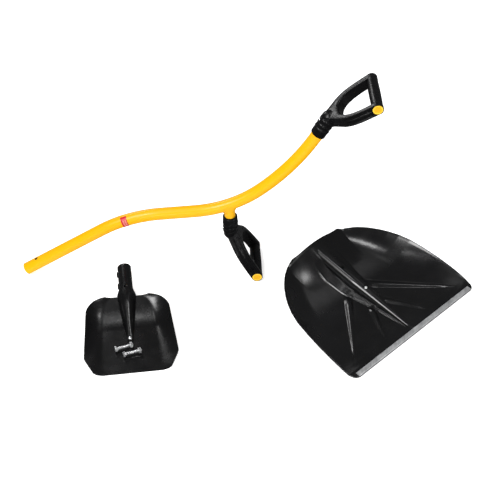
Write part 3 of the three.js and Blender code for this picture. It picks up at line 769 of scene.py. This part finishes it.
def build_blade_socket():
    end, r = BLADE_SOCKET_END, BLADE_SOCKET_R
    tube = Shape()
    radii = [(end, 0.01), (end, r - 0.4), (end + 0.5, r)] + [(x, r) for x in np.linspace(end + 6, -212, 18)]
    radii += [(-204, r - 1.2), (-193, r - 2.8), (-193, 0.01)]
    tube.grid(np.array([tilted_ring(x, q, socket_axis, BLADE_SOCKET_SLOPE) for x, q in radii]), close_v=True)
    ob = tube.object("steel_socket_fine", [steel_black], from_blade, 50)
    rows = []
    for x in np.r_[np.linspace(-254, -220, 20), np.linspace(-217, -112, 46)]:
        f = np.clip((x + 250) / 30, 0, 1)
        f = f * f * (3 - 2 * f)
        g = np.clip((x + 222) / 110, 0, 1)
        plate = float(blade_base(np.array(x))) + BLADE_T
        wide = (r + 0.03) * (1 - f) + 23 * f
        wide = wide * (1 - g ** 1.2) + 7.6 * g ** 1.2
        base = socket_axis(x) * (1 - f) + 32 * f if x < -219 else plate - 0.4
        power = 1 + 0.55 * f * (1 - 0.45 * g)
        crest = max(socket_crest(x), base + 3)
        row = []
        for t in np.linspace(0, math.pi, 57):
            high = math.sin(t) ** power
            crease = 0.35 * f * (1 - g) * math.exp(-((t - math.pi / 2) / 0.07) ** 2)
            row.append((x, wide * math.cos(t), base + (crest - base) * high + crease))
        rows.append(row)
    hood = Shape()
    hood.grid(np.array(rows), close_v=True, cap_first=True, cap_last=True)
    tab = Shape()
    section = ((-127, 7.2), (-118, 7.8), (-108, 8), (-101, 7.4), (-97, 5.2), (-95.2, 1.8))
    low, mid, top = BLADE_T + 0.2, BLADE_T + 2.2, BLADE_T + 2.75
    tab_rows = [[(x, -w, low), (x, -w, mid), (x, -w + 0.6, top), (x, w - 0.6, top), (x, w, mid), (x, w, low)]
                for x, w in section]
    tab.grid(np.array(tab_rows), close_v=True, cap_first=True, cap_last=True)
    others = [hood.object("hood", [steel_black], from_blade, 50),
              tab.object("tab", [steel_black], from_blade, 50)]
    for x in (-292, -255):
        bump = Shape()
        bump.lathe([(0, 8), (7.6, 8), (7.4, 15.4), (6.6, 18.2), (5.2, 19.5), (2.6, 19.9), (0, 19.95)], 36,
                   lambda p, x=x: np.stack([p[..., 0] * 1.2 + x, -p[..., 2], p[..., 1] + socket_axis(x)], -1))
        others.append(bump.object("bump", [steel_black], from_blade, 50))
    join(ob, *others)
    cut(ob, bore_tool(socket_axis, BLADE_SOCKET_SLOPE, end, BLADE_BORE_END, TUBE_R + 0.4, from_blade),
        rod([BOLT_HOLE_X, 0, -5], [BOLT_HOLE_X, 0, 80], BOLT_HOLE_R, from_blade),
        rod([RIVET_X, 0, 0], [RIVET_X, 0, 12], 3.2, from_blade))
    resharpen(ob, 42)
    return ob


def build_rivet():
    shape = Shape()
    shape.lathe([(0, 0.4), (3, 0.4), (3, 5.1), (4.9, 5.1), (5, 5.5), (4.75, 6.3), (4.1, 7.2), (3.1, 7.9),
                 (1.8, 8.3), (0, 8.4)], 36, lambda p: p + np.array([RIVET_X, 0, 0]))
    return shape.object("rivet_fine", [zinc], from_blade, 30)


# ------------------------------------------------------------------ bolts and nuts
def hex_radius(angle):
    return (HEX_AF / 2) / np.cos((angle + math.pi / 6) % (math.pi / 3) - math.pi / 6)


def hex_shell(shape, x0, x1, domed, bore):
    a = np.linspace(0, 2 * math.pi, 72, endpoint=False) + 1e-6
    full = hex_radius(a - math.pi / 2)
    corner = HEX_AF / math.sqrt(3)

    def ring(x, limit):
        r = np.minimum(full, limit)
        return np.stack([np.full_like(a, x), r * np.cos(a), r * np.sin(a)], -1)
    rows = []
    if bore:
        rows += [ring(x1 - 0.9, bore), ring(x1, bore + 0.8)]
    else:
        rows += [ring(x1, 0.01)]
    rows += [ring(x1, HEX_AF / 2 - 0.35), ring(x1 - 0.25, HEX_AF / 2 + 0.15), ring(x1 - 0.65, corner - 0.35),
             ring(x1 - 1.0, corner)]
    rows += [ring(x1 - 1.2, corner), ring(x0 + 1.2, corner), ring(x0 + 1.0, corner)]
    rows += [ring(x0 + 0.65, corner - 0.35), ring(x0 + 0.25, HEX_AF / 2 + 0.15), ring(x0, HEX_AF / 2 - 0.35)]
    if domed:
        rows += [ring(x0, 4.6), ring(x0 + 0.25, 4.2), ring(x0 + 0.3, 0.01)]
    elif bore:
        rows += [ring(x0, bore + 0.8), ring(x0 + 0.9, bore)]
        shape.grid(np.array(rows), close_u=True, close_v=True)
        return
    else:
        rows += [ring(x0, 0.01)]
    shape.grid(np.array(rows), close_v=True)


def add_bolt(tag, x, y, heading):
    axis_z = BLADE_T + 0.3 + HEX_AF / 2

    def place(p):
        return turn_z(p, heading) + np.array([x, y, axis_z]) + OFFSET
    start = -(HEAD_H + BOLT_LEN) / 2
    neck = start + HEAD_H
    end = neck + BOLT_LEN
    shape = Shape()
    hex_shell(shape, start, neck, True, 0)
    shank_r, thread_depth = BOLT_R - 0.05, 0.68
    sides, pitch, first = 28, 1.25, end - 26
    a = np.linspace(0, 2 * math.pi, sides, endpoint=False)

    def ring(s, r):
        return np.stack([np.full_like(a, s), r * np.cos(a), r * np.sin(a)], -1)
    rows = [ring(neck - 0.5, shank_r), ring(first - 1.2, shank_r)]
    for s in np.arange(first, end - 0.6, pitch / 7):
        wave = np.abs(((s / pitch - a / (2 * math.pi)) % 1) * 2 - 1)
        rows.append(ring(s, shank_r - thread_depth * (1 - wave) * min(1, (s - first) / 2.5)))
    rows += [ring(end, 3.0), ring(end, 0.01)]
    shape.grid(np.array(rows), close_v=True)
    bolt = shape.object(f"bolt_{tag}_fine", [zinc], place, 32)
    dress(bolt, f"bolt_{tag}_set", "zinc", f"bolt_{tag}")
    nut_at = end - NUT_H - 2
    nut_mesh = Shape()
    hex_shell(nut_mesh, nut_at, nut_at + NUT_H, False, 4.05)
    nut = nut_mesh.object(f"nut_{tag}_fine", [zinc], place, 32)
    dress(nut, f"nut_{tag}_set", "zinc", f"nut_{tag}")


# ------------------------------------------------------------------ scoop
def scoop_half(x):
    return table(x, [(SCOOP_BACK, 80), (-341.2, 88), (-339, 97), (-335.5, 105.2), (-331, 111.8),
                     (-324, 123.2), (-316, 133.3), (-306, 144.5), (-296, 154.2), (-275, 170.7),
                     (-255, 183.4), (-230, 195.7), (-200, 205.4), (-160, 211.8), (-119, 216.7), (-80, 219.3),
                     (-40, 220.2), (-20, 219), (-8, 215.6), (-3, 211.6), (0, 207.6)])


def scoop_base(x):
    return np.where(x >= SCOOP_CURL_X, 0.0, 43 * (np.maximum(SCOOP_CURL_X - x, 0) / 164) ** 1.5)


def scoop_crown(x, t):
    """The back wall stands higher in the middle, where the socket goes through it."""
    return (26 * (np.maximum(0, -250 - x) / 92) ** 1.6
            * np.maximum(0, 1 - (t * scoop_half(x) / 96) ** 2) ** 0.8)


def scoop_rim(x):
    return RIM_HIGH * np.clip((-x - 20) / 300, 0, 1) ** 0.75


def front_step(x):
    return np.where(x > -16, 1.5, np.where(x > -34, 1.5 * (x + 34) / 18, 0.0))


def scoop_rise(x, t):
    lift = np.maximum(0, scoop_rim(x) - scoop_base(x))
    return scoop_base(x) + scoop_crown(x, t) + lift * rise(np.abs(t), 0.6, 2)


def scoop_axis(x):
    return 22.5 + (-215 - x) * SCOOP_SOCKET_SLOPE


def line_distance(x, w, a, b):
    a, b = np.array(a, float), np.array(b, float)
    d = b - a
    f = np.clip(((x - a[0]) * d[0] + (w - a[1]) * d[1]) / (d @ d), 0, 1)
    return np.hypot(x - a[0] - f * d[0], w - a[1] - f * d[1]), f


# each rib from its root at the fairing to its tip near the front, with its height and half width
SCOOP_RIBS = [((-196, 30), (-30, 186), 5.2, 10.5), ((-132, 19), (-30, 76), 4.2, 8.0)]


def ridge_radius(x):
    """Half width of the tapering ridge in front of the socket."""
    return np.interp(x, [-206, RIDGE_END], [SCOOP_SOCKET_R, RIDGE_END_R])


def scoop_details(x, w):
    z = np.zeros_like(x)
    for side in (1, -1):
        for (x0, w0), (x1, w1), high, wide in SCOOP_RIBS:
            d, f = line_distance(x, w, (x0, side * w0), (x1, side * w1))
            half = wide * (1 - f) ** 0.8 + 1.2
            ends = np.clip(f * 7, 0, 1) * np.clip((1 - f) * 5, 0, 1)
            tall = high * (1 - f) ** 0.6
            z += ends * tall * np.clip(1.35 * (1 - d / half), 0, 1)
            z -= ends * 1.0 * (1 - 0.6 * f) * np.exp(-((d - half - 1.7) / 1.6) ** 2)
    # fairing along the socket and the ridge, broadest behind the middle, with an edge of its own
    ridge_axis = np.interp(x, [RIDGE_START, RIDGE_END], [scoop_axis(RIDGE_START), RIDGE_END_Z])
    axis = np.where(x < RIDGE_START, scoop_axis(x), ridge_axis)
    r = np.where(x < RIDGE_START, SCOOP_SOCKET_R, ridge_radius(x))
    level = scoop_base(x) + SCOOP_T
    drop = np.clip(level - axis, -r, r)
    foot = np.sqrt(np.maximum(r * r - drop * drop, 0.0))
    places = [-342, -305, -262, -215, -168, -120, -24]
    broad = np.interp(x, places, [8, 22, 31, 30, 20, 11, 4])
    high = np.interp(x, places, [0, 6.5, 10.5, 11, 7, 4, 1.2])
    edge = np.interp(x, places, [0, 1.0, 1.7, 1.7, 1.5, 0.8, 0.3])
    d = np.maximum(np.abs(w) - foot, 0)
    z += high * np.clip(1 - d / broad, 0, 1) + edge * np.clip((broad - d) / 2.6 + 0.5, 0, 1)
    return z


def build_scoop():
    rows = np.r_[np.linspace(SCOOP_BACK, -300, 44), np.linspace(-298, -20, 170), np.linspace(-18.5, 0, 14)]
    columns = 301

    def top_of(x, t):
        w = t * scoop_half(x)
        edge = np.minimum((1 - np.abs(t)) * scoop_half(x), x - SCOOP_BACK)
        lip = 1.2 * np.exp(-(edge / 3.2) ** 2) * np.clip((-x - 26) / 30, 0, 1)
        return (scoop_rise(x, t) + SCOOP_T + front_step(x) * 0.85
                + scoop_details(x, w) * np.clip((-x - 12) / 16, 0, 1) + lip)

    def under(x, t):
        return scoop_rise(x, t) + front_step(x)
    top = sheet_points(rows, columns, scoop_half, top_of)
    bottom = sheet_points(rows, columns, scoop_half, under)

    def away(p):
        z0 = scoop_axis(p[..., 0])
        return np.hypot(p[..., 1], (p[..., 2] - z0) * math.cos(math.atan(SCOOP_SOCKET_SLOPE)))

    def corner_max(v):
        return np.maximum.reduce([v[:-1, :-1], v[1:, :-1], v[:-1, 1:], v[1:, 1:]])
    behind = top[:-1, :-1, 0] < -204
    inside = np.maximum(corner_max(away(top)), corner_max(away(bottom))) < SCOOP_SOCKET_R + 0.2
    keep = ~(behind & inside)
    shape = Shape()
    shape.grid(top, keep=keep)
    shape.grid(bottom, keep=keep)
    for pick in (lambda g: g[:, 0], lambda g: g[:, -1], lambda g: g[-1]):
        a, b = pick(top), pick(bottom)
        shape.grid(np.stack([a, a * 0.6 + b * 0.4, b], 0))
    a, b = top[0], bottom[0]
    shape.grid(np.stack([a, b], 0), keep=keep[:1])
    return shape.object("scoop_fine", [scoop_black], from_scoop, 30)


def build_scoop_socket():
    """The socket and the ridge that runs on from it, down to the front."""
    end, r = SCOOP_SOCKET_END, SCOOP_SOCKET_R
    stations = [(end, 0.01), (end, r - 0.8), (end + 0.4, r - 0.2), (end + 1.2, r)]
    stations += [(x, r) for x in np.linspace(end + 7, -207, 30)]
    rings = [tilted_ring(x, q, scoop_axis, SCOOP_SOCKET_SLOPE, floor=0.6) for x, q in stations]
    start = scoop_axis(RIDGE_START)
    for x in np.linspace(-201, -24, 70):
        f = (x - RIDGE_START) / (RIDGE_END - RIDGE_START)
        height = start + (RIDGE_END_Z - start) * f
        rings.append(tilted_ring(x, r + (RIDGE_END_R - r) * f, lambda v, h=height: h, 0.12, floor=0.6))
    rings.append(tilted_ring(-22.6, 2.0, lambda v: RIDGE_END_Z, 0.12, floor=0.6))
    rings.append(tilted_ring(-22.2, 0.01, lambda v: RIDGE_END_Z - 0.2, 0.12, floor=0.6))
    shape = Shape()
    shape.grid(np.array(rings), close_v=True)
    ob = shape.object("scoop_socket_fine", [scoop_black], from_scoop, 40)
    cut(ob, bore_tool(scoop_axis, SCOOP_SOCKET_SLOPE, end, SCOOP_BORE_END, SCOOP_BORE_R, from_scoop),
        rod([SCOOP_BOLT_X, 0, -5], [SCOOP_BOLT_X, 0, 90], BOLT_HOLE_R, from_scoop),
        rod([SCOOP_SCREW_X, 0, SCOOP_SCREW_Z - 0.1], [SCOOP_SCREW_X, 0, 60], 5.0, from_scoop),
        rod([SCOOP_SCREW_X, 0, 10], [SCOOP_SCREW_X, 0, 60], 2.2, from_scoop))
    resharpen(ob, 40)
    return ob


def build_strip():
    prof = [(-11.9, 5.15), (-12, 5.6), (-11.6, 6.05)]
    prof += [(x, 6.15 + 0.1 * (x + 11) / 11) for x in np.linspace(-11, -0.6, 5)]
    prof += [(-0.4 + 1.9 * math.sin(t), 4.35 + 1.9 * math.cos(t)) for t in np.linspace(0.15, math.pi / 2, 7)]
    prof += [(1.52, 3), (1.45, 1.7)]
    prof += [(1.4 * math.cos(t), 1.42 - 1.4 * math.sin(t)) for t in np.linspace(0.1, math.pi / 2, 6)]
    prof += [(-6, 0.05), (-11.6, 0.05), (-12, 0.5), (-11.7, 1.0), (0.2, 1.2), (0.3, 2.4), (0.2, 4.95)]
    prof = np.array(prof)
    ys = np.linspace(-STRIP_HALF, STRIP_HALF, 140)
    rows = []
    for y in ys:
        wobble = 0.09 * math.sin(y * 0.11) + 0.07 * math.sin(y * 0.041 + 1)
        p = prof.copy()
        p[:, 0] = np.where(p[:, 0] < -9, p[:, 0] + 0.12 + wobble, p[:, 0] - 0.05)
        p[:, 1] = np.clip(p[:, 1] + np.where(p[:, 1] > 3, wobble * 0.5 - 0.08, 0), 0.02, 6.28)
        rows.append(np.stack([p[:, 0], np.full(len(p), y), p[:, 1]], -1))
    shape = Shape()
    shape.grid(np.array(rows), close_v=True, cap_first=True, cap_last=True)
    return shape.object("edge_strip_fine", [strip_steel], from_scoop, 40)


# ------------------------------------------------------------------ put it together
tube = build_tube()
stub, weld = build_stub()
dress(tube, "shaft", "yellow_paint", "shaft_tube")
dress(stub, "shaft", "yellow_paint", "grip_stub")
dress(weld, "shaft", "yellow_paint", "stub_weld")
for yellow in (tube, stub, weld):
    yellow.visible_glossy = False
dress(build_label(), "shaft", "red_label", "shaft_label")

top_mouth, top_heading = shaft_at(TUBE_MOUTH_S)
add_grip("top_grip", TUBE_R, top_mouth, top_heading, False)
add_grip("mid_grip", STUB_R, BRANCH_AT + STUB_MOUTH * BRANCH_DIR, STUB_HEADING, True)

dress(build_blade(), "steel_blade", "black_steel", "steel_blade_plate")
dress(build_blade_socket(), "steel_blade", "black_steel", "steel_blade_socket")
dress(build_rivet(), "steel_blade", "zinc", "steel_blade_rivet")

for bolt_tag, (bx, by, bh) in BOLTS.items():
    add_bolt(bolt_tag, bx, by, bh)

dress(build_scoop(), "scoop", "scoop_plastic", "scoop_shell")
dress(build_scoop_socket(), "scoop", "scoop_plastic", "scoop_socket")
dress(build_strip(), "scoop", "edge_steel", "scoop_edge_strip")


def ridge_screw_place(p):
    return from_scoop(np.asarray(p, float) + np.array([SCOOP_SCREW_X, 0, SCOOP_SCREW_Z]))


ridge_screw = screw_shape(13.0, 2.0, 4.3).object("ridge_screw_fine", [zinc], ridge_screw_place, 30)
cut(ridge_screw, *slot_tools(ridge_screw_place, 2.8))
dress(ridge_screw, "scoop", "zinc", "scoop_socket_screw")


# ------------------------------------------------------------------ stage, light, camera
floor_mesh = bpy.data.meshes.new("floor")
floor_mesh.from_pydata([(-9, -9, 0), (9, -9, 0), (9, 9, 0), (-9, 9, 0)], [], [(0, 1, 2, 3)])
floor = bpy.data.objects.new("floor", floor_mesh)
floor.location.z = -0.0006
bpy.context.scene.collection.objects.link(floor)
floor_mesh.materials.append(principled("floor_pale", (0.9, 0.9, 0.9), 0.9, ior=1.2))
floor_shader = floor_mesh.materials[0].node_tree.nodes["Principled BSDF"]
floor_shader.inputs["Emission Color"].default_value = (1, 1, 1, 1)
floor_shader.inputs["Emission Strength"].default_value = 0.62
floor.visible_glossy = False

world = bpy.data.worlds.new("studio")
bpy.context.scene.world = world
world.use_nodes = True
world.node_tree.nodes["Background"].inputs["Color"].default_value = (0.97, 0.98, 1.0, 1)
world.node_tree.nodes["Background"].inputs["Strength"].default_value = 0.12


def softbox(name, location, target, size, power, color=(1, 1, 1)):
    data = bpy.data.lights.new(name, "AREA")
    data.shape = "ELLIPSE"
    data.size, data.size_y = size
    data.energy = power
    data.color = color
    ob = bpy.data.objects.new(name, data)
    ob.location = location
    way = np.array(target, float) - np.array(location, float)
    ob.rotation_euler = Vector(way).to_track_quat("-Z", "Y").to_euler()
    bpy.context.scene.collection.objects.link(ob)


softbox("key", (-1.6, -1.5, 3.0), (0, 0, 0), (1.5, 1.5), 120)
softbox("top", (1.09, 0.13, 2.72), (0.33, 0, 0), (0.38, 0.75), 17)
softbox("back", (0.98, 1.33, 2.4), (0.33, 0, 0), (0.5, 0.7), 1.0)
softbox("over", (-0.47, 0.28, 2.55), (0.1, 0, 0), (0.22, 0.55), 5)
softbox("fill", (2.6, -2.0, 1.6), (0.1, 0, 0.1), (1.4, 1.4), 40)
softbox("rim", (-1.2, 1.9, 1.5), (0, 0, 0.1), (0.9, 0.7), 14)
softbox("front", (-0.35, -2.2, 0.8), (0, 0.1, 0.1), (1.0, 0.3), 9)

camera = bpy.data.objects.new("camera", bpy.data.cameras.new("camera"))
ELEVATION, DISTANCE = math.radians(43), 3.230
camera.data.lens, camera.data.sensor_width = 90, 36
camera.data.clip_end = 50
camera.location = (OFFSET[0] * MM, OFFSET[1] * MM - DISTANCE * math.cos(ELEVATION),
                   DISTANCE * math.sin(ELEVATION))
camera.rotation_euler = (math.pi / 2 - ELEVATION, 0, 0)
bpy.context.scene.collection.objects.link(camera)
bpy.context.scene.camera = camera
bpy.context.scene.view_settings.view_transform = "Standard"
